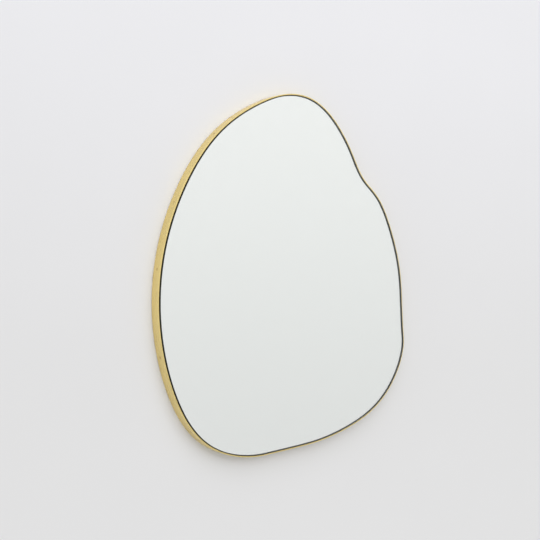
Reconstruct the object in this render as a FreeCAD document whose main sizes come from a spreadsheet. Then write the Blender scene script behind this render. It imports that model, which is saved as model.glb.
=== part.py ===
# Wall mirror with an irregular pebble outline in a solid brass band.
#
# A flat brass strip is bent on edge round a plywood board.  A silvered glass
# pane, taped to the board, stands a little proud of the strip's front edge.
# A Z-shaped rail on the board hooks over a second rail on the wall.
#
# Millimetres.  X runs to the viewer's right, Z up, and the mirror faces -Y.
# The wall is the plane y = 0.  The origin is on the wall, midway between the
# screws of the wall rail.  Depths are measured from the wall to the front.

import FreeCAD, Part
import Sketcher
import math
import os

# ---------------------------------------------------------------- sizes

SIZES = {
    # outline of the band's outer face, about a datum at its middle
    "outline_shift": 4.5,        # datum, to the right of the wall rail's middle
    "outline_drop": 150,         # datum, below the wall screws

    # brass band and its screws
    "band_depth": 25,
    "band_thickness": 2,
    "band_easing": 0.3,
    "band_screw_head": 5.5,
    "band_screw_shank": 2.8,
    "band_screw_length": 16,

    # silvered pane
    "glass_thickness": 5,
    "glass_proud": 3,            # face of the pane beyond the band's front edge
    "glass_gap": 0.9,            # round the pane, to the band
    "glass_arris": 0.8,
    "silver_thickness": 0.2,

    # mounting tape between the pane and the board
    "tape_thickness": 1,
    "tape_width": 25,
    "tape_pitch": 85,
    "tape_margin": 22,           # from the strips' ends to the band

    # board
    "board_thickness": 18,
    "board_fit": 0.1,            # round the board, to the band

    # hanging rails: both have the same section
    "rail_thickness": 2.5,
    "rail_plate": 26,
    "rail_lip": 12,
    "rail_play": 0.3,            # each side of a hooked lip
    "rail_lip_play": 1,          # under the tip of the mirror's lip
    "wall_rail_length": 200,
    "wall_screw_pitch": 160,
    "wall_screw_hole": 5,
    "wall_screw_head": 9,
    "board_rail_length": 240,
    "board_screw_pitch": 64,
    "board_screw_hole": 3.6,
    "board_screw_head": 7,
    "board_screw_shank": 3.5,
    "board_screw_length": 12,

    # slots of all the screws, as shares of no other size
    "slot_width": 0.9,
    "slot_depth": 0.8,
    "screw_point": 2.5,

    # bumpers at the foot
    "bumper_diameter": 12,
    "bumper_face": 10,
    "bumper_spread": 140,        # from the datum to each side
    "bumper_drop": 235,          # below the datum
}

# Points of the outline, counter-clockwise from the lower right, as seen
# from the front: (right of the datum, above the datum).
OUTLINE = [
    (265, -125), (261, -62), (256, 0), (230, 92), (199, 148), (168, 179),
    (142, 225), (106, 280), (61, 318), (12, 329), (-60, 310), (-150, 249),
    (-214, 158), (-255, 45), (-264, -75), (-238, -200), (-172, -298),
    (-85, -328), (-8, -323), (60, -314), (130, -294), (200, -256),
    (250, -192),
]

# Directions of the band screws as seen from the datum, in degrees
# counter-clockwise from the right.
BAND_SCREWS = [7, 40, 69, 94, 121, 151, 177.5, 209, 234.5, 259, 284, 310, 336]

WALL_SCREWS = 2
BOARD_SCREWS = 4
TAPE_STRIPS = 5

# Depths from the wall, built up from the sizes
RAIL_SLOT = "(sizes.rail_thickness + 2 * sizes.rail_play)"
BOARD_BACK = "(2 * sizes.rail_thickness + 3 * sizes.rail_play)"
BOARD_FRONT = "(" + BOARD_BACK + " + sizes.board_thickness)"
SILVER_BACK = "(" + BOARD_FRONT + " + sizes.tape_thickness)"
GLASS_BACK = "(" + SILVER_BACK + " + sizes.silver_thickness)"
BAND_FRONT = "(" + GLASS_BACK + " + sizes.glass_thickness - sizes.glass_proud)"
BAND_BACK = "(" + BAND_FRONT + " - sizes.band_depth)"
BOARD_MIDDLE = "(" + BOARD_BACK + " + sizes.board_thickness / 2)"

# Height of the mirror rail's screws above the wall rail's: its web rests on
# the tip of the wall rail's lip.
RAIL_RISE = "(sizes.rail_plate + 2 * sizes.rail_thickness + sizes.rail_lip)"

BEND_TOLERANCE = 0.2             # between the arcs of the outline and its curve

doc = FreeCAD.newDocument("irregular_mirror")
sheet = doc.addObject("Spreadsheet::Sheet", "sizes")


def fill_sheet():
    """Puts every driving size, outline point and screw direction in a cell."""
    rows = list(SIZES.items())
    for number, (right, above) in enumerate(OUTLINE, 1):
        rows.append(("outline_x_%d" % number, right))
        rows.append(("outline_z_%d" % number, above))
    for number, direction in enumerate(BAND_SCREWS, 1):
        rows.append(("band_screw_angle_%d" % number, direction))
    for row, (alias, value) in enumerate(rows, 1):
        sheet.set("A%d" % row, alias)
        sheet.set("B%d" % row, "%g" % value)
        sheet.setAlias("B%d" % row, alias)
    doc.recompute()


def size(alias):
    return float(sheet.get(alias))


def bind(thing, **expressions):
    """Binds properties to the sheet; an underscore pair stands for a dot."""
    for name, expression in expressions.items():
        thing.setExpression(name.replace("__", "."), expression)


# -------------------------------------------------------------- outline


def outline_datum():
    return FreeCAD.Vector(size("outline_shift"), 0, -size("outline_drop"))


def stand_up(thing, depth):
    """Stands a thing that is drawn flat: its own +Z then runs to the front."""
    thing.Placement.Rotation = FreeCAD.Rotation(FreeCAD.Vector(1, 0, 0), 90)
    bind(thing, Placement__Base__x="sizes.outline_shift",
         Placement__Base__y="-" + depth,
         Placement__Base__z="-sizes.outline_drop")


def outline_wire():
    """A closed chain of tangent arcs through the outline's points."""
    points = []
    for number in range(1, len(OUTLINE) + 1):
        right = size("outline_x_%d" % number)
        above = size("outline_z_%d" % number)
        points.append(FreeCAD.Vector(right, above, 0))
    curve = Part.BSplineCurve()
    curve.interpolate(points, PeriodicFlag=True)
    arcs = [arc.toShape() for arc in curve.toBiArcs(BEND_TOLERANCE)]
    return Part.Wire(Part.sortEdges(arcs)[0])


def make_outline():
    outline = doc.addObject("Part::Feature", "outline")
    outline.Shape = outline_wire()
    stand_up(outline, "0 mm")
    doc.recompute()
    return outline


def band_station(outline, number):
    """Where a band screw enters: the point, and the way into the board."""
    turn = math.radians(size("band_screw_angle_%d" % number))
    datum = outline_datum()
    away = FreeCAD.Vector(math.cos(turn), 0, math.sin(turn))
    reach = outline.Shape.BoundBox.DiagonalLength
    ray = Part.makeLine(datum, datum + away * reach)
    point = outline.Shape.distToShape(ray)[1][0][0]
    for edge in outline.Shape.Edges:
        if edge.distToShape(Part.Vertex(point))[0] < 0.001:
            along = edge.tangentAt(edge.Curve.parameter(point))
    inward = along.cross(FreeCAD.Vector(0, 1, 0))
    if inward.dot(away) > 0:
        inward = inward * -1
    return point, inward


# ----------------------------------------------------- pieces in general


def origin_plane(body, role):
    for plane in body.Origin.OriginFeatures:
        if plane.Role == role:
            return plane


def new_body(name, label=None):
    body = doc.addObject("PartDesign::Body", name)
    body.Label = label or name
    return body


def inset_line(body, name, outline, inset):
    """The outline in a body, moved inward."""
    line = body.newObject("PartDesign::SubShapeBinder", name)
    line.Relative = False
    line.Support = [(outline, [""])]
    line.setExpression("Offset", "-(" + inset + ")")
    return line


def make_plate(name, outline, inset, thickness, depth):
    """A body with the inset outline, from a depth out to the front."""
    body = new_body(name)
    pad = body.newObject("PartDesign::Pad", name + "_pad")
    pad.Profile = inset_line(body, name + "_line", outline, inset)
    pad.setExpression("Length", thickness)
    stand_up(body, depth)
    doc.recompute()
    return body


def front_edges(shape):
    """Names of the edges that lie all round the front of a plate."""
    front = shape.BoundBox.ZMax
    names = []
    for number, edge in enumerate(shape.Edges, 1):
        if edge.BoundBox.ZMin > front - 0.01:
            names.append("Edge%d" % number)
    return names


def ease_front(body, name, width):
    """Bevels every edge round the front of a plate."""
    doc.recompute()
    base = body.Tip
    easing = body.newObject("PartDesign::Chamfer", name)
    easing.Base = (base, front_edges(base.Shape))
    easing.setExpression("Size", width)
    doc.recompute()


def placed(point, inward, spin=0):
    """A placement whose own +Z runs along inward, turned about it by spin."""
    turn = FreeCAD.Rotation(FreeCAD.Vector(0, 0, 1), inward)
    about = FreeCAD.Rotation(FreeCAD.Vector(0, 0, 1), spin)
    return FreeCAD.Placement(point, turn.multiply(about))


def cylinder(name, diameter, length, lift="0"):
    post = doc.addObject("Part::Cylinder", name)
    bind(post, Radius="(" + diameter + ") / 2", Height=length,
         Placement__Base__z=lift)
    return post


def cone(name, wide, narrow, length, lift="0"):
    taper = doc.addObject("Part::Cone", name)
    bind(taper, Radius1="(" + wide + ") / 2", Radius2="(" + narrow + ") / 2",
         Height=length, Placement__Base__z=lift)
    return taper


def fused(name, *things):
    whole = doc.addObject("Part::MultiFuse", name)
    whole.Shapes = list(things)
    return whole


def make_screw(name, head, shank, length):
    """A slotted countersunk screw, head at its own z = 0, pointing up."""
    sink = "((" + head + " - " + shank + ") / 2)"
    top = cone(name + "_head", head, shank, sink)
    straight = cylinder(name + "_shank", shank,
                        length + " - sizes.screw_point - " + sink, sink)
    point = cone(name + "_point", shank, shank + " / 8", "sizes.screw_point",
                 length + " - sizes.screw_point")
    slot = doc.addObject("Part::Box", name + "_slot")
    bind(slot, Length=head + " + 2", Width="sizes.slot_width",
         Height="sizes.slot_depth + 1", Placement__Base__z="-1",
         Placement__Base__x="-(" + head + ") / 2 - 1",
         Placement__Base__y="-sizes.slot_width / 2")
    screw = doc.addObject("Part::Cut", name)
    screw.Base = fused(name + "_blank", top, straight, point)
    screw.Tool = slot
    return screw


def make_sinking(name, head, hole, depth):
    """The shape of a countersunk hole, mouth at its own z = 0."""
    sink = "((" + head + " - " + hole + ") / 2)"
    mouth = cone(name + "_mouth", head, hole, sink)
    bore = cylinder(name + "_bore", hole, depth)
    return fused(name, mouth, bore)


def repeated(name, master, placements):
    """Copies of one shape at the given placements, as a group."""
    copies = []
    for number, (placement, rise, depth) in enumerate(placements, 1):
        copy = doc.addObject("App::Link", "%s_%d" % (name, number))
        copy.LinkedObject = master
        copy.Placement = placement
        if rise:
            copy.setExpression("Placement.Base.z", rise)
        copy.setExpression("Placement.Base.y", "-" + depth)
        copies.append(copy)
    group = doc.addObject("Part::Compound", name)
    group.Links = copies
    return group


def drilled(name, blank, *tools):
    """A blank with every solid of the tools taken out of it."""
    doc.recompute()
    solids = [solid for tool in tools for solid in tool.Shape.Solids]
    piece = doc.addObject("Part::Feature", name)
    piece.Shape = blank.Shape.cut(solids)
    piece.Label = name
    return piece


# ------------------------------------------------------------ the frame


def band_places(outline):
    places = []
    for number in range(1, len(BAND_SCREWS) + 1):
        point, inward = band_station(outline, number)
        places.append((placed(point, inward, 47 * number), None, BOARD_MIDDLE))
    return places


def make_band(outline, places):
    """The brass strip: a ring with eased front edges and sunk screw holes."""
    body = make_plate("band_strip", outline, "0 mm", "sizes.band_depth",
                      BAND_BACK)
    pocket = body.newObject("PartDesign::Pocket", "band_inside")
    pocket.Profile = inset_line(body, "band_inside_line", outline,
                                "sizes.band_thickness")
    pocket.Reversed = True
    pocket.setExpression("Length", "sizes.band_depth")
    ease_front(body, "band_easing", "sizes.band_easing")
    holes = repeated(
        "band_holes",
        make_sinking("band_hole", "sizes.band_screw_head",
                     "sizes.band_screw_shank", "sizes.band_thickness * 2"),
        places)
    return drilled("brass_band", body, holes)


def make_band_screws(places):
    master = make_screw("band_screw", "sizes.band_screw_head",
                        "sizes.band_screw_shank", "sizes.band_screw_length")
    return repeated("band_screws", master, places)


# ------------------------------------------------- pane, tape and board


def make_glass(outline):
    body = make_plate("mirror_glass", outline,
                      "sizes.band_thickness + sizes.glass_gap",
                      "sizes.glass_thickness", GLASS_BACK)
    ease_front(body, "glass_arris", "sizes.glass_arris")
    return body


def make_silver(outline):
    return make_plate("silver_backing", outline,
                      "sizes.band_thickness + sizes.glass_gap",
                      "sizes.silver_thickness", SILVER_BACK)


def make_tape(outline):
    """Upright strips of tape, each as long as the outline leaves room for."""
    room = Part.Face(outline.Shape.makeOffset2D(-size("tape_margin")))
    span = outline.Shape.BoundBox
    strips = []
    for number in range(1, TAPE_STRIPS + 1):
        middle = size("outline_shift")
        middle += (number - (TAPE_STRIPS + 1) / 2) * size("tape_pitch")
        ends = []
        for side in (-0.5, 0, 0.5):
            across = middle + side * size("tape_width")
            upright = Part.makeLine(FreeCAD.Vector(across, 0, span.ZMin),
                                    FreeCAD.Vector(across, 0, span.ZMax))
            box = room.common(upright).BoundBox
            ends.append((box.ZMin, box.ZMax))
        foot = max(low for low, high in ends)
        head = min(high for low, high in ends)
        strip = doc.addObject("Part::Box", "mirror_tape_%d" % number)
        strip.Height = head - foot
        strip.Placement.Base = FreeCAD.Vector(0, 0, foot)
        bind(strip, Length="sizes.tape_width", Width="sizes.tape_thickness",
             Placement__Base__x="sizes.outline_shift + sizes.tape_pitch * %g"
                                " - sizes.tape_width / 2"
                                % (number - (TAPE_STRIPS + 1) / 2),
             Placement__Base__y="-" + SILVER_BACK)
        strips.append(strip)
    return strips


def make_board(outline, band_screws, board_screws):
    """The board, with the holes that the screws make in it."""
    body = make_plate("board_blank", outline,
                      "sizes.band_thickness + sizes.board_fit",
                      "sizes.board_thickness", BOARD_BACK)
    return drilled("backing_board", body, band_screws, board_screws)


# ---------------------------------------------------------- the hanging


def draw_rail(body, name, lip):
    """The Z section, back at y = 0, plate centred on z = 0, lip upward."""
    sketch = body.newObject("Sketcher::SketchObject", name + "_section")
    sketch.AttachmentSupport = (origin_plane(body, "YZ_Plane"), [""])
    sketch.MapMode = "FlatFace"
    thick = size("rail_thickness")
    slot = thick + 2 * size("rail_play")
    half = size("rail_plate") / 2
    web = half + thick
    tip = web + size("rail_lip")
    corners = [(0, -half), (0, web), (-slot, web), (-slot, tip),
               (-slot - thick, tip), (-slot - thick, half), (-thick, half),
               (-thick, -half)]
    count = len(corners)
    for number in range(count):
        start = FreeCAD.Vector(*corners[number], 0)
        end = FreeCAD.Vector(*corners[(number + 1) % count], 0)
        sketch.addGeometry(Part.LineSegment(start, end), False)
    for number in range(count):
        following = (number + 1) % count
        sketch.addConstraint(
            Sketcher.Constraint("Coincident", number, 2, following, 1))
        way = "Vertical" if number % 2 == 0 else "Horizontal"
        sketch.addConstraint(Sketcher.Constraint(way, number))

    def measure(kind, first, first_end, second, second_end, value, rule):
        index = sketch.addConstraint(Sketcher.Constraint(
            kind, first, first_end, second, second_end, value))
        sketch.setExpression("Constraints[%d]" % index, rule)

    plate = "sizes.rail_plate"
    thickness = "sizes.rail_thickness"
    measure("DistanceX", -1, 1, 0, 1, 0, "0")
    measure("DistanceY", 0, 1, -1, 1, half, plate + " / 2")
    measure("DistanceY", 0, 1, 0, 2, 2 * half + thick,
            plate + " + " + thickness)
    measure("DistanceX", 2, 1, 0, 1, slot, RAIL_SLOT)
    measure("DistanceY", 2, 1, 2, 2, tip - web, lip)
    measure("DistanceX", 4, 1, 2, 1, thick, thickness)
    measure("DistanceX", 6, 2, 0, 1, thick, thickness)
    measure("DistanceY", 5, 1, 1, 1, thick, thickness)
    return sketch


def make_rail(name, lip, length):
    body = new_body(name + "_blank")
    pad = body.newObject("PartDesign::Pad", name + "_pad")
    pad.Profile = draw_rail(body, name, lip)
    pad.Midplane = True
    pad.setExpression("Length", length)
    return body


def row(count, pitch, rise, depth, inward, height=0):
    """Places for screws in a level row about x = 0."""
    places = []
    for number in range(count):
        across = (number - (count - 1) / 2) * size(pitch)
        point = FreeCAD.Vector(across, 0, height)
        places.append((placed(point, inward, 61 * number), rise, depth))
    return places


def make_wall_rail():
    """The rail on the wall, drilled for its screws from the front."""
    body = make_rail("wall_rail", "sizes.rail_lip", "sizes.wall_rail_length")
    sinking = make_sinking("wall_hole", "sizes.wall_screw_head",
                           "sizes.wall_screw_hole", "sizes.rail_thickness * 2")
    places = row(WALL_SCREWS, "wall_screw_pitch", "0", "sizes.rail_thickness",
                 FreeCAD.Vector(0, 1, 0))
    return drilled("wall_rail", body, repeated("wall_holes", sinking, places))


def board_screw_places():
    face = "(" + BOARD_BACK + " - sizes.rail_thickness)"
    return row(BOARD_SCREWS, "board_screw_pitch", RAIL_RISE, face,
               FreeCAD.Vector(0, -1, 0))


def make_board_screws(places):
    master = make_screw("board_screw", "sizes.board_screw_head",
                        "sizes.board_screw_shank", "sizes.board_screw_length")
    return repeated("board_rail_screws", master, places)


def make_board_rail(places):
    """The same rail turned over, on the back of the board."""
    body = make_rail("board_rail", "sizes.rail_lip - sizes.rail_lip_play",
                     "sizes.board_rail_length")
    body.Placement.Rotation = FreeCAD.Rotation(FreeCAD.Vector(1, 0, 0), 180)
    bind(body, Placement__Base__y="-" + BOARD_BACK,
         Placement__Base__z=RAIL_RISE)
    sinking = make_sinking("board_rail_hole", "sizes.board_screw_head",
                           "sizes.board_screw_hole", "sizes.rail_thickness * 2")
    return drilled("board_rail", body,
                   repeated("board_rail_holes", sinking, places))


def make_bumper(name, side):
    """A soft button on the board that keeps the foot of it off the wall."""
    bumper = cone(name, "sizes.bumper_diameter", "sizes.bumper_face",
                  BOARD_BACK)
    bumper.Placement.Rotation = FreeCAD.Rotation(FreeCAD.Vector(1, 0, 0), -90)
    bind(bumper,
         Placement__Base__x="sizes.outline_shift + %d * sizes.bumper_spread"
                            % side,
         Placement__Base__y="-" + BOARD_BACK,
         Placement__Base__z="-sizes.outline_drop - sizes.bumper_drop")
    return bumper


# ------------------------------------------------------------- assembly


def check(things):
    """Stops when a feature has failed or a piece is not a sound solid."""
    for thing in doc.Objects:
        if "Invalid" in thing.State or "Error" in thing.State:
            raise RuntimeError("%s has failed: %s" % (thing.Name, thing.State))
    for name, thing in things.items():
        shape = thing.Shape
        if shape.isNull() or not shape.isValid() or not shape.Solids:
            raise RuntimeError("%s is not a sound solid" % name)


def build():
    fill_sheet()
    outline = make_outline()
    places = band_places(outline)
    rail_places = board_screw_places()
    band_screws = make_band_screws(places)
    rail_screws = make_board_screws(rail_places)
    pieces = {
        "brass_band": make_band(outline, places),
        "band_screws": band_screws,
        "mirror_glass": make_glass(outline),
        "silver_backing": make_silver(outline),
        "backing_board": make_board(outline, band_screws, rail_screws),
        "board_rail": make_board_rail(rail_places),
        "board_rail_screws": rail_screws,
        "bumper_left": make_bumper("bumper_left", -1),
        "bumper_right": make_bumper("bumper_right", 1),
        "wall_rail": make_wall_rail(),
    }
    for strip in make_tape(outline):
        pieces[strip.Name] = strip
    doc.recompute()
    check(pieces)
    return pieces


def export(pieces):
    os.makedirs("parts", exist_ok=True)
    for name, piece in pieces.items():
        piece.Shape.exportStep("parts/%s.step" % name)
        box = piece.Shape.BoundBox
        print("%-20s %2d solids %10.1f mm3  x %7.1f %7.1f  y %7.2f %7.2f"
              "  z %7.1f %7.1f" % (name, len(piece.Shape.Solids),
                                   piece.Shape.Volume, box.XMin, box.XMax,
                                   box.YMin, box.YMax, box.ZMin, box.ZMax))


export(build())
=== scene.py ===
"""Looks of an irregular wall mirror in a brass band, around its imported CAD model.

Metres, in the model's own frame: the wall is the plane y = 0, +Z is up and
the mirror faces -Y.
"""

import math

import bpy
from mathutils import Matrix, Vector


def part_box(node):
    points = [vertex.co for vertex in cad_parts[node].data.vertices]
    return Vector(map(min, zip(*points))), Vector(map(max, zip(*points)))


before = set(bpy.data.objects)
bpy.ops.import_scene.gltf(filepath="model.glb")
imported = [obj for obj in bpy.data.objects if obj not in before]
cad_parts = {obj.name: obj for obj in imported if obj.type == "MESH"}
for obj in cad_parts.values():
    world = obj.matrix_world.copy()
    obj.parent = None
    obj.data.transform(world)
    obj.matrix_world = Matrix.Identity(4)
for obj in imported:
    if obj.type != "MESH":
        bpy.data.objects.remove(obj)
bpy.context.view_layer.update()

# The middle of the band, across its outline and its depth
BAND_LOW, BAND_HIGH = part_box("brass_band")
MIDDLE = (BAND_LOW + BAND_HIGH) / 2

# The camera stands to the left of the mirror, a little above its middle
CAMERA_PLACE = Vector((-1.0968, -1.7632, -0.0995))
CAMERA_AHEAD = Vector((0.52102, 0.85329, -0.02108))
CAMERA_LENS = 75.0
SENSOR = 36.0
CLIP_NEAR, CLIP_FAR = 0.05, 60

WALL_GAP = 0.0004            # the wall's face behind the rail's back
COAT_GAP = 0.00002           # drawn between the glass and its silver
PLY_PAIR = 0.0030            # one pale and one dark ply of the board
SAME_PLANE = 0.0001          # corners this near to the board's rear are on it

# The room's light: all round, and gathered about a way high in front
EVEN_LIGHT = 0.36
FRONT_LIGHT = 2.63
FRONT_FOCUS = 7.0
FRONT_WAY = Vector((-0.15, -0.91, 0.35)).normalized()

# The room as it is seen: brightness at two heights of the line of sight
SKY_FROM, SKY_TO = -0.30, 0.32
SKY_LOW, SKY_HIGH = 0.78, 1.02

# A weak lamp above the mirror, aimed at its middle
LAMP_PLACE = Vector((-0.2, -1.3, 1.7))
LAMP_WIDTH, LAMP_HEIGHT = 1.4, 1.0
LAMP_POWER = 5

# Wall and floor, and the heights between which painted light makes the wall lighter
# towards the top
ROOM = 9.0
FLOOR_Z = -1.45
PAINTED_LIGHT_FROM, PAINTED_LIGHT_TO = -0.45, 0.42
WALL_SHADED_LOW = (0.818, 0.818, 0.82, 1)
WALL_LIT_HIGH = (0.885, 0.885, 0.905, 1)
FLOOR_PAINT = (0.84, 0.84, 0.835, 1)

# The opening in the wall lies this far inside the board's rim, and is moved
# up so that it stays hidden when the mirror is lifted off
OPEN_INSET = 0.0095
OPEN_RISE = 0.006
RIM_PARTS = 240

BAND_TINT = (0.92, 0.745, 0.31)
SCREW_TINT = (0.74, 0.56, 0.23)
METAL = {"Metallic": 1.0}


# ---------------------------------------------------------------- node help


class Nodes:
    """A short way to build the node tree of a material or a world."""

    def __init__(self, name, world=False):
        shelf = bpy.data.worlds if world else bpy.data.materials
        self.owner = shelf.new(name)
        self.owner.use_nodes = True
        self.tree = self.owner.node_tree
        self.tree.nodes.clear()
        self.output = self.add("OutputWorld" if world else "OutputMaterial")

    def feed(self, socket, value):
        """Links an input to another node's output, or sets its value."""
        if isinstance(value, bpy.types.NodeSocket):
            self.tree.links.new(value, socket)
        else:
            socket.default_value = value

    def add(self, kind, inputs=None, **settings):
        """A node with its settings, and its inputs set or linked."""
        node = self.tree.nodes.new("ShaderNode" + kind)
        for name, value in settings.items():
            setattr(node, name, value)
        for key, value in (inputs or {}).items():
            self.feed(node.inputs[key], value)
        return node

    def finish(self, surface):
        self.feed(self.output.inputs["Surface"], surface)
        return self.owner

    def finish_solid(self, colour, rough, normal=None, more=None):
        """The finished material of a solid surface."""
        inputs = {"Base Color": colour, "Roughness": rough, **(more or {})}
        if normal is not None:
            inputs["Normal"] = normal
        return self.finish(self.add("BsdfPrincipled", inputs).outputs[0])

    def shown(self):
        """One for what a camera, gloss or clear glass sees, and zero for
        what lights a matt surface."""
        path = self.add("LightPath").outputs
        straight = self.maths("ADD", path["Is Camera Ray"],
                              path["Is Glossy Ray"])
        straight = self.maths("ADD", straight, path["Is Transmission Ray"],
                              clamp=True)
        return self.maths("MULTIPLY", straight, self.maths(
            "LESS_THAN", path["Diffuse Depth"], 0.5))

    def stopped(self):
        """One for what is shown, and for light that would leak round the
        back of the mirror on to the wall."""
        path = self.add("LightPath").outputs
        leak = self.maths("ADD", path["Is Shadow Ray"], self.maths(
            "GREATER_THAN", path["Diffuse Depth"], 1.5))
        return self.maths("ADD", self.shown(), leak, clamp=True)

    def either(self, factor, first, second):
        """Two shaders, mixed."""
        return self.add("MixShader",
                        {0: factor, 1: first, 2: second}).outputs[0]

    def part(self, vector, axis):
        """One part of a vector."""
        return self.add("SeparateXYZ", {"Vector": vector}).outputs[axis]

    def facing(self):
        """How far a face looks along Y: -1 is towards the room."""
        return self.part(self.add("NewGeometry").outputs["True Normal"], "Y")

    def place(self, stretch=(1, 1, 1)):
        """The point in the model's frame, scaled along each axis."""
        point = self.add("TexCoord").outputs["Object"]
        return self.add("Mapping", {"Vector": point, "Scale": stretch},
                        vector_type="POINT").outputs["Vector"]

    def noise(self, stretch, detail=2.0, roughness=0.5, distortion=0.0):
        """Cloudy noise, as fine as stretch says on each axis or on all."""
        if not isinstance(stretch, tuple):
            stretch = (stretch,) * 3
        return self.add("TexNoise", {
            "Vector": self.place(stretch), "Scale": 1.0, "Detail": detail,
            "Roughness": roughness, "Distortion": distortion}).outputs["Fac"]

    def level(self, value, low=0.3, high=0.7, to_low=0.0, to_high=1.0,
              smooth=False):
        """A value carried from one range into another, and held there."""
        kind = "SMOOTHSTEP" if smooth else "LINEAR"
        return self.add("MapRange", {
            "Value": value, "From Min": low, "From Max": high,
            "To Min": to_low, "To Max": to_high},
            interpolation_type=kind).outputs["Result"]

    def blend(self, factor, first, second, mode="MIX"):
        """Two colours, mixed: inputs 6 and 7 are the node's colours."""
        return self.add("Mix", {0: factor, 6: first, 7: second},
                        data_type="RGBA", blend_type=mode,
                        clamp_factor=True).outputs[2]

    def maths(self, operation, *values, clamp=False):
        return self.add("Math", dict(enumerate(values)),
                        operation=operation, use_clamp=clamp).outputs[0]

    def bump(self, height, distance, strength=1.0, normal=None):
        inputs = {"Height": height, "Distance": distance,
                  "Strength": strength}
        if normal is not None:
            inputs["Normal"] = normal
        return self.add("Bump", inputs).outputs["Normal"]


def grey(level):
    return (level, level, level, 1)


# ---------------------------------------------------------------- materials


def brass_material(name, tint, rough, fine):
    """Brass rubbed along the strip: fine lines, dull patches, soft waves."""
    n = Nodes(name)
    lines = n.noise((6, 2600, 6), detail=3, roughness=0.7)
    rubbing = n.noise((14, 700, 14))
    cloud = n.noise((9, 22, 9), detail=4, roughness=0.6)
    deep = tuple(0.95 * part for part in tint) + (1,)
    bright = tuple(min(1, 1.03 * part) for part in tint) + (1,)
    colour = n.blend(n.level(cloud), deep, bright)
    colour = n.blend(n.level(lines, 0.35, 0.65, 0, 0.12), colour,
                     (0.72, 0.62, 0.45, 1), "MULTIPLY")
    dull = n.maths("ADD", n.level(cloud, 0.3, 0.75, -0.04, 0.06),
                   n.level(rubbing, 0.3, 0.7, rough - 0.04, rough + 0.05))
    normal = n.bump(n.noise((30, 12, 30), detail=1), 0.0006, 0.25)
    normal = n.bump(lines, 0.00002 * fine, 0.6, normal)
    normal = n.bump(n.noise(900, detail=1), 0.000015, 0.3, normal)
    return n.finish_solid(colour, dull, normal, METAL)


def glass_material():
    """Clear float glass: polished faces, and finely ground, greenish edges painted
    near black as painted shade for the dark gap beside the band.
    """
    n = Nodes("pane_glass")
    edge = n.level(n.maths("ABSOLUTE", n.facing()), 0.80, 0.95, 1, 0)
    grind = n.noise(1400)
    # The edges' colour is painted shade: near black for the shaded gap between pane
    # and band, with a little of ground glass's green in it.
    ground_and_painted_shade = n.blend(grind, (0.004, 0.005, 0.003, 1),
                     (0.013, 0.015, 0.009, 1))
    colour = n.blend(edge, (0.980, 0.989, 0.983, 1), ground_and_painted_shade)
    rough = n.maths("MULTIPLY", edge, n.level(grind, 0.3, 0.7, 0.34, 0.5))
    normal = n.bump(n.maths("MULTIPLY", grind, edge), 0.00003, 0.5)
    return n.finish_solid(colour, rough, normal, {
        "IOR": 1.52, "Transmission Weight": n.maths("SUBTRACT", 1.0, edge)})


def silver_material():
    """The silvered layer: a true mirror to the front, grey paint behind."""
    n = Nodes("silver_coat")
    front = n.level(n.facing(), -0.9, -0.8, 1, 0)
    cloud = n.noise(40, detail=3)
    behind = n.blend(n.level(cloud, 0.35, 0.65),
                     (0.30, 0.31, 0.31, 1), (0.36, 0.37, 0.37, 1))
    mirror = n.blend(n.level(cloud),
                     (0.928, 0.936, 0.928, 1), (0.934, 0.942, 0.934, 1))
    return n.finish_solid(n.blend(front, behind, mirror),
                          n.level(front, 0, 1, 0.55, 0.0),
                          more={"Metallic": front})


def board_material():
    """Birch plywood: upright face grain, and its plies in the edge."""
    n = Nodes("birch_board")
    is_edge = n.level(n.maths("ABSOLUTE", n.facing()), 0.4, 0.6, 1, 0)
    grain = n.noise((70, 70, 2.4), detail=5, roughness=0.62, distortion=0.6)
    pores = n.noise((900, 900, 26), roughness=0.6)
    broad = n.noise((9, 9, 0.9))
    face = n.blend(n.level(grain, 0.32, 0.68),
                   (0.62, 0.44, 0.26, 1), (0.74, 0.57, 0.37, 1))
    face = n.blend(n.level(broad, 0.35, 0.7, 0, 0.5), face,
                   (0.80, 0.64, 0.44, 1))
    face = n.blend(n.level(pores, 0.6, 0.78, 0, 0.35), face,
                   (0.40, 0.26, 0.14, 1))
    ply = n.maths("FRACT", n.maths("DIVIDE", n.part(n.place(), "Y"),
                                   PLY_PAIR))
    edge = n.blend(n.level(ply, 0.46, 0.54),
                   (0.66, 0.49, 0.31, 1), (0.44, 0.29, 0.16, 1))
    return n.finish_solid(
        n.blend(is_edge, face, edge), n.level(grain, 0.3, 0.7, 0.58, 0.70),
        n.bump(n.maths("ADD", grain, pores), 0.00012, 0.4))


def aluminium_material():
    """Mill-finish extrusion: die lines along the rail, faint handling marks."""
    n = Nodes("mill_aluminium")
    lines = n.noise((3, 1500, 1500), detail=3, roughness=0.7)
    cloud = n.noise((12, 60, 60), detail=3)
    colour = n.blend(n.level(cloud),
                     (0.66, 0.67, 0.68, 1), (0.78, 0.79, 0.80, 1))
    rough = n.maths("ADD", n.level(lines, 0.3, 0.7, 0.24, 0.36),
                    n.level(cloud, 0.3, 0.7, -0.03, 0.06))
    return n.finish_solid(colour, rough, n.bump(lines, 0.00003, 0.5), METAL)


def zinc_material():
    """Bright zinc plate with its faint blue and straw bloom."""
    n = Nodes("zinc_steel")
    cloud = n.noise(160, detail=3)
    colour = n.blend(n.level(cloud, 0.35, 0.65),
                     (0.60, 0.63, 0.68, 1), (0.72, 0.70, 0.62, 1))
    return n.finish_solid(colour, n.level(cloud, 0.3, 0.7, 0.22, 0.34),
                          n.bump(n.noise(1500), 0.00002, 0.4), METAL)


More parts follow.
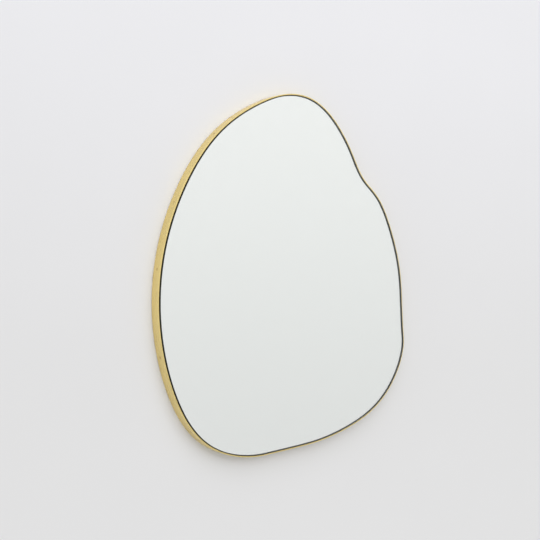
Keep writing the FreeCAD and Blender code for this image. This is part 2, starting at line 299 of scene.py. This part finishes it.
def tape_material():
    """White foam tape: fine open cells under a slightly rough liner."""
    n = Nodes("foam_tape")
    cells = n.add("TexVoronoi", {"Vector": n.place(),
                                 "Scale": 1400.0}).outputs["Distance"]
    colour = n.blend(n.level(cells, 0.0, 0.6),
                     (0.70, 0.70, 0.67, 1), (0.86, 0.86, 0.83, 1))
    return n.finish_solid(colour, n.level(cells, 0, 0.6, 0.9, 0.7),
                          n.bump(cells, 0.0001, 0.5))


def rubber_material():
    """Black moulded rubber, matt, with a little dust in its grain."""
    n = Nodes("bumper_rubber")
    grain = n.noise(2200)
    colour = n.blend(n.level(n.noise(240, detail=3), 0.5, 0.8, 0, 0.5),
                     (0.018, 0.018, 0.019, 1), (0.06, 0.058, 0.055, 1))
    return n.finish_solid(colour, n.level(grain, 0.3, 0.7, 0.6, 0.8),
                          n.bump(grain, 0.00004, 0.6))


# ---------------------------------------------------------------- the stage


def stage_material(name, low, high):
    """Pale paint with painted light, lighter high up as if lit from above, solid to
    what looks at its face and open from behind, so that the back of the mirror is
    seen and lit."""
    n = Nodes(name)
    height = n.part(n.place(), "Z")
    # Painted light: the colour grows lighter towards the top, as if the wall were
    # lit from above.
    colour = n.blend(n.level(height, PAINTED_LIGHT_FROM, PAINTED_LIGHT_TO, smooth=True), low,
                     high)
    front = n.maths("SUBTRACT", 1.0,
                    n.add("NewGeometry").outputs["Backfacing"])
    mottle = n.noise(5, detail=3)
    shade = n.blend(n.level(mottle, 0.3, 0.7, 0, 0.02), colour, grey(0.5))
    solid = n.add("BsdfDiffuse", {"Color": shade, "Roughness": 0.5})
    clear = n.add("BsdfTransparent", {"Color": grey(1.0)})
    return n.finish(n.either(n.maths("MULTIPLY", n.stopped(), front),
                             clear.outputs[0], solid.outputs[0]))


def sheet(name, corners, faces, material):
    mesh = bpy.data.meshes.new(name)
    mesh.from_pydata(corners, [], faces)
    mesh.materials.append(material)
    thing = bpy.data.objects.new(name, mesh)
    bpy.context.scene.collection.objects.link(thing)


def board_rim():
    """The board's rear rim, about the middle and in order: the farthest
    point in each direction, with the board at rest whatever the pose."""
    corners = [corner.co for corner in
               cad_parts["backing_board"].data.vertices]
    rear = max(corner.y for corner in corners)
    rim = {}
    for corner in corners:
        if rear - corner.y < SAME_PLANE:
            off = Vector((corner.x - MIDDLE.x, corner.z - MIDDLE.z))
            turn = round(math.atan2(off.y, off.x) * RIM_PARTS / math.tau)
            turn %= RIM_PARTS
            if turn not in rim or rim[turn].length < off.length:
                rim[turn] = off
    return [rim[turn] for turn in sorted(rim)]


def make_stage():
    """The wall, as a ring of faces about its opening, and the floor."""
    half = ROOM / 2
    corners, faces = [], []
    rim = board_rim()
    for step, off in enumerate(rim):
        near = off * (1 - OPEN_INSET / off.length)
        far = off * (half / max(abs(off.x), abs(off.y)))
        corners += [(MIDDLE.x + near.x, WALL_GAP,
                     MIDDLE.z + near.y + OPEN_RISE),
                    (MIDDLE.x + far.x, WALL_GAP, MIDDLE.z + far.y)]
        after = (step + 1) % len(rim)
        faces.append((2 * step, 2 * step + 1, 2 * after + 1, 2 * after))
    sheet("wall", corners, faces,
          stage_material("wall_paint", WALL_SHADED_LOW, WALL_LIT_HIGH))
    sheet("floor", [(-half, -half, FLOOR_Z), (half, -half, FLOOR_Z),
                    (half, half, FLOOR_Z), (-half, half, FLOOR_Z)],
          [(0, 1, 2, 3)],
          stage_material("floor_paint", FLOOR_PAINT, FLOOR_PAINT))


def make_world():
    """A soft pale room, brightest in front of the mirror and above it."""
    n = Nodes("studio", world=True)
    way = n.add("SeparateXYZ", {
        "Vector": n.add("TexCoord").outputs["Generated"]}).outputs
    # The light in front is repeated behind the wall, for the mirror's back
    folded = n.add("CombineXYZ", {
        "X": way["X"], "Z": way["Z"], "Y": n.maths(
            "MULTIPLY", n.maths("ABSOLUTE", way["Y"]), -1.0)})
    ahead = n.add("VectorMath", {0: folded.outputs["Vector"], 1: FRONT_WAY},
                  operation="DOT_PRODUCT").outputs["Value"]
    front = n.maths("MULTIPLY", FRONT_LIGHT, n.maths(
        "POWER", n.maths("MAXIMUM", ahead, 0.0), FRONT_FOCUS))
    cast = n.add("Background", {
        "Color": grey(1.0), "Strength": n.maths("ADD", front, EVEN_LIGHT)})
    rise = n.level(way["Z"], SKY_FROM, SKY_TO, SKY_LOW, SKY_HIGH, smooth=True)
    seen = n.add("Background", {"Color": grey(1.0), "Strength": rise})
    bpy.context.scene.world = n.finish(
        n.either(n.shown(), cast.outputs[0], seen.outputs[0]))


def make_lamp():
    data = bpy.data.lights.new("top_softbox", "AREA")
    data.shape = "RECTANGLE"
    data.size, data.size_y = LAMP_WIDTH, LAMP_HEIGHT
    data.energy = LAMP_POWER
    lamp = bpy.data.objects.new("top_softbox", data)
    bpy.context.scene.collection.objects.link(lamp)
    lamp.location = LAMP_PLACE
    lamp.rotation_euler = (MIDDLE - LAMP_PLACE).to_track_quat(
        "-Z", "Y").to_euler()
    lamp.visible_glossy = lamp.visible_transmission = False


def make_camera():
    data = bpy.data.cameras.new("camera")
    data.lens = CAMERA_LENS
    data.sensor_width = SENSOR
    data.clip_start, data.clip_end = CLIP_NEAR, CLIP_FAR
    camera = bpy.data.objects.new("camera", data)
    bpy.context.scene.collection.objects.link(camera)
    camera.location = CAMERA_PLACE
    camera.rotation_mode = "QUATERNION"
    camera.rotation_quaternion = CAMERA_AHEAD.to_track_quat("-Z", "Y")
    bpy.context.scene.camera = camera


# ---------------------------------------------------------------- the scene


def paint(material, *names):
    """Gives CAD nodes their finished material."""
    for name in names:
        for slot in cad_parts[name].material_slots:
            slot.material = material


def dress():
    """Every carried-over CAD node gets its own finish."""
    paint(brass_material("band_brass", BAND_TINT, 0.28, 1.0), "brass_band")
    paint(brass_material("screw_brass", SCREW_TINT, 0.36, 2.0),
          "band_screws")
    paint(glass_material(), "mirror_glass")
    paint(silver_material(), "silver_backing")
    # The coat shares the glass's rear face, so it is drawn a hair smaller
    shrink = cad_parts["silver_backing"].modifiers.new("shrink",
                                                            "DISPLACE")
    shrink.strength = -COAT_GAP
    shrink.mid_level = 0.0
    paint(board_material(), "backing_board")
    paint(aluminium_material(), "board_rail", "wall_rail")
    paint(zinc_material(), "board_rail_screws")
    paint(rubber_material(), "bumper_left", "bumper_right")
    paint(tape_material(), *(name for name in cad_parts
                             if name.startswith("mirror_tape")))


bpy.context.scene.view_settings.view_transform = "Standard"
make_camera()
make_stage()
make_world()
make_lamp()
dress()
